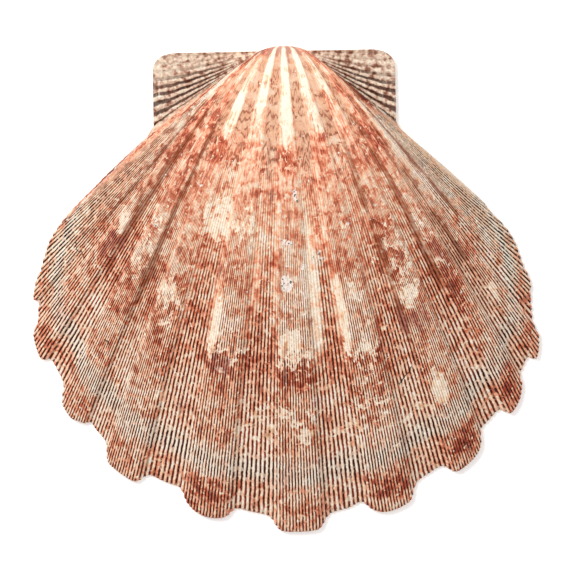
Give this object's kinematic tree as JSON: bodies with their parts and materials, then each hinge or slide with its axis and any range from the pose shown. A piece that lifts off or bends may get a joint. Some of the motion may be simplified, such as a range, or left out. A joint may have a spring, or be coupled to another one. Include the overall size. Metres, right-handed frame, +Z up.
{
  "type": "scallop shell valve",
  "caption": "One arched, fan-shaped scallop valve with broad radial ribs, fine riblets, a scalloped margin and two flat ears along a straight hinge.",
  "frame": {"origin": "centre of the valve's bounding box on the surface it lies on (z = 0 under the margin and ears)", "axes": "+X along the straight hinge, towards the shorter ear; +Y from the scalloped margin towards the beak; +Z up, out of the arched outer face"},
  "size_m": [0.1202, 0.1156, 0.0268],
  "materials": {
    "shell": "matte"
  },
  "bodies": {
    "root": {"scallop_valve": "shell"}
  },
  "joints": []
}
